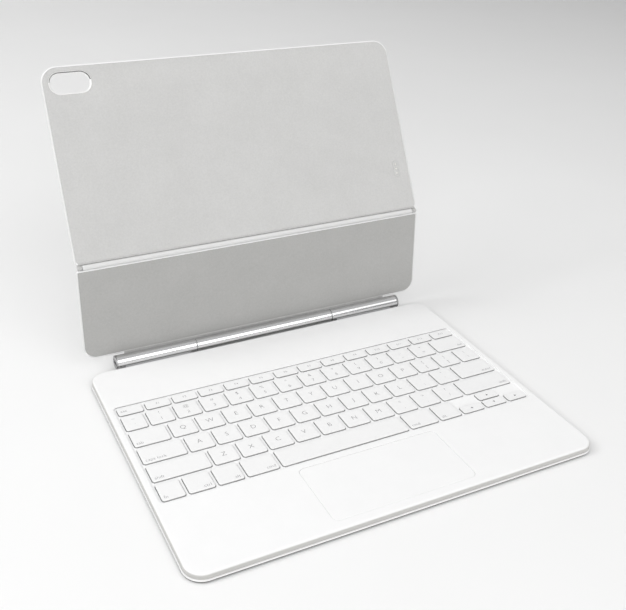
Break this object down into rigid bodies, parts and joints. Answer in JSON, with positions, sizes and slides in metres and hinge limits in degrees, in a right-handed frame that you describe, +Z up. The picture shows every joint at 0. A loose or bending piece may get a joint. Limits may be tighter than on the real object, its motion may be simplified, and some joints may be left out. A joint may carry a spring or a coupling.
{
  "type": "tablet keyboard case",
  "caption": "Folding keyboard case for a thin tablet: keyboard base with trackpad, hinge barrel, and a two-panel cover that folds back to prop the tablet up.",
  "frame": {"origin": "centre of the base's underside, on the table", "axes": "+X to the user's right, +Y away from the user towards the hinge barrel, +Z up"},
  "size_m": [0.281, 0.2965, 0.2061],
  "materials": {
    "skin": "matte",
    "ring": "satin",
    "deck": "satin",
    "plate": "satin",
    "web": "matte",
    "steel": "satin",
    "dome": "matte",
    "plastic": "matte",
    "switch": "matte",
    "board": "satin",
    "cable": "satin",
    "magnet": "satin",
    "screw": "satin",
    "barrel": "satin",
    "port": "satin",
    "tongue": "matte",
    "core": "matte",
    "lower_lining": "matte",
    "upper_lining": "matte",
    "bead": "satin",
    "lug": "satin",
    "contact_block": "satin",
    "contact": "satin",
    "trackpad": "satin",
    "key": "matte"
  },
  "bodies": {
    "base": {"base_skin": "skin", "base_plate": "plate", "deck": "deck", "key_web": "web", "key_support": "steel", "dome_sheet": "dome", "scissor_frames": "plastic", "trackpad_switch": "switch", "trackpad_springs": "steel", "logic_board": "board", "base_cables": "cable", "base_magnets": "magnet", "hinge_brackets": "steel", "hinge_screws": "screw", "barrel_left": "barrel", "barrel_right": "barrel", "left_cap": "barrel", "right_cap": "barrel", "friction_clutches": "steel", "port_shell": "port", "port_tongue": "tongue"},
    "lower_cover": {"lower_skin": "skin", "lower_core": "core", "lower_lining": "lower_lining", "barrel_centre": "barrel", "shaft_plugs": "steel", "hinge_shafts": "steel", "hinge_leaf": "steel", "lower_cable": "cable", "fold_bead": "bead", "fold_strip": "skin"},
    "upper_cover": {"upper_skin": "skin", "upper_core": "core", "upper_lining": "upper_lining", "camera_ring": "ring", "cover_magnets": "magnet", "upper_cable": "cable", "contact_block": "contact_block", "fold_pin": "steel", "fold_lugs": "lug"},
    "contacts": {"contact_pins": "contact"},
    "trackpad": {"trackpad_glass": "trackpad", "trackpad_plate": "steel"},
    "escape_key": {"escape_key": "key"},
    "function_keys": {"function_keys": "key"},
    "number_keys": {"number_keys": "key"},
    "delete_key": {"delete_key": "key"},
    "tab_key": {"tab_key": "key"},
    "upper_letter_keys": {"upper_letter_keys": "key"},
    "caps_lock_key": {"caps_lock_key": "key"},
    "home_letter_keys": {"home_letter_keys": "key"},
    "return_key": {"return_key": "key"},
    "left_shift_key": {"left_shift_key": "key"},
    "lower_letter_keys": {"lower_letter_keys": "key"},
    "right_shift_key": {"right_shift_key": "key"},
    "left_modifier_keys": {"left_modifier_keys": "key"},
    "space_bar": {"space_bar": "key"},
    "right_modifier_keys": {"right_modifier_keys": "key"},
    "side_arrow_keys": {"side_arrow_keys": "key"},
    "updown_arrow_keys": {"updown_arrow_keys": "key"}
  },
  "joints": [
    {"name": "main_hinge", "type": "hinge", "parent": "base", "child": "lower_cover", "pos_m": [0, 0.111, 0.0071], "axis": [1, 0, 0], "range_deg": [0, 93.5]},
    {"name": "fold_hinge", "type": "hinge", "parent": "lower_cover", "child": "upper_cover", "pos_m": [0, 0.12177, 0.08168], "axis": [1, 0, 0], "range_deg": [-12, 25], "deforming": ["fold_strip"]},
    {"name": "contact_press", "type": "slide", "parent": "upper_cover", "child": "contacts", "axis": [0, 0.8788, -0.4772], "range_m": [0, 0.0003], "stiffness_N_per_m": 400, "springref_m": -0.001},
    {"name": "trackpad_click", "type": "slide", "parent": "base", "child": "trackpad", "axis": [0, 0, -1], "range_m": [0, 0.0003], "stiffness_N_per_m": 1500, "springref_m": -0.0007},
    {"name": "escape_press", "type": "slide", "parent": "base", "child": "escape_key", "axis": [0, 0, -1], "range_m": [0, 0.001], "stiffness_N_per_m": 300, "springref_m": -0.001},
    {"name": "function_press", "type": "slide", "parent": "base", "child": "function_keys", "axis": [0, 0, -1], "range_m": [0, 0.001], "stiffness_N_per_m": 300, "springref_m": -0.001},
    {"name": "number_press", "type": "slide", "parent": "base", "child": "number_keys", "axis": [0, 0, -1], "range_m": [0, 0.001], "stiffness_N_per_m": 300, "springref_m": -0.001},
    {"name": "delete_press", "type": "slide", "parent": "base", "child": "delete_key", "axis": [0, 0, -1], "range_m": [0, 0.001], "stiffness_N_per_m": 300, "springref_m": -0.001},
    {"name": "tab_press", "type": "slide", "parent": "base", "child": "tab_key", "axis": [0, 0, -1], "range_m": [0, 0.001], "stiffness_N_per_m": 300, "springref_m": -0.001},
    {"name": "upper_letter_press", "type": "slide", "parent": "base", "child": "upper_letter_keys", "axis": [0, 0, -1], "range_m": [0, 0.001], "stiffness_N_per_m": 300, "springref_m": -0.001},
    {"name": "caps_lock_press", "type": "slide", "parent": "base", "child": "caps_lock_key", "axis": [0, 0, -1], "range_m": [0, 0.001], "stiffness_N_per_m": 300, "springref_m": -0.001},
    {"name": "home_letter_press", "type": "slide", "parent": "base", "child": "home_letter_keys", "axis": [0, 0, -1], "range_m": [0, 0.001], "stiffness_N_per_m": 300, "springref_m": -0.001},
    {"name": "return_press", "type": "slide", "parent": "base", "child": "return_key", "axis": [0, 0, -1], "range_m": [0, 0.001], "stiffness_N_per_m": 300, "springref_m": -0.001},
    {"name": "left_shift_press", "type": "slide", "parent": "base", "child": "left_shift_key", "axis": [0, 0, -1], "range_m": [0, 0.001], "stiffness_N_per_m": 300, "springref_m": -0.001},
    {"name": "lower_letter_press", "type": "slide", "parent": "base", "child": "lower_letter_keys", "axis": [0, 0, -1], "range_m": [0, 0.001], "stiffness_N_per_m": 300, "springref_m": -0.001},
    {"name": "right_shift_press", "type": "slide", "parent": "base", "child": "right_shift_key", "axis": [0, 0, -1], "range_m": [0, 0.001], "stiffness_N_per_m": 300, "springref_m": -0.001},
    {"name": "left_modifier_press", "type": "slide", "parent": "base", "child": "left_modifier_keys", "axis": [0, 0, -1], "range_m": [0, 0.001], "stiffness_N_per_m": 300, "springref_m": -0.001},
    {"name": "space_bar_press", "type": "slide", "parent": "base", "child": "space_bar", "axis": [0, 0, -1], "range_m": [0, 0.001], "stiffness_N_per_m": 300, "springref_m": -0.001},
    {"name": "right_modifier_press", "type": "slide", "parent": "base", "child": "right_modifier_keys", "axis": [0, 0, -1], "range_m": [0, 0.001], "stiffness_N_per_m": 300, "springref_m": -0.001},
    {"name": "side_arrow_press", "type": "slide", "parent": "base", "child": "side_arrow_keys", "axis": [0, 0, -1], "range_m": [0, 0.001], "stiffness_N_per_m": 300, "springref_m": -0.001},
    {"name": "updown_arrow_press", "type": "slide", "parent": "base", "child": "updown_arrow_keys", "axis": [0, 0, -1], "range_m": [0, 0.001], "stiffness_N_per_m": 300, "springref_m": -0.001}
  ]
}
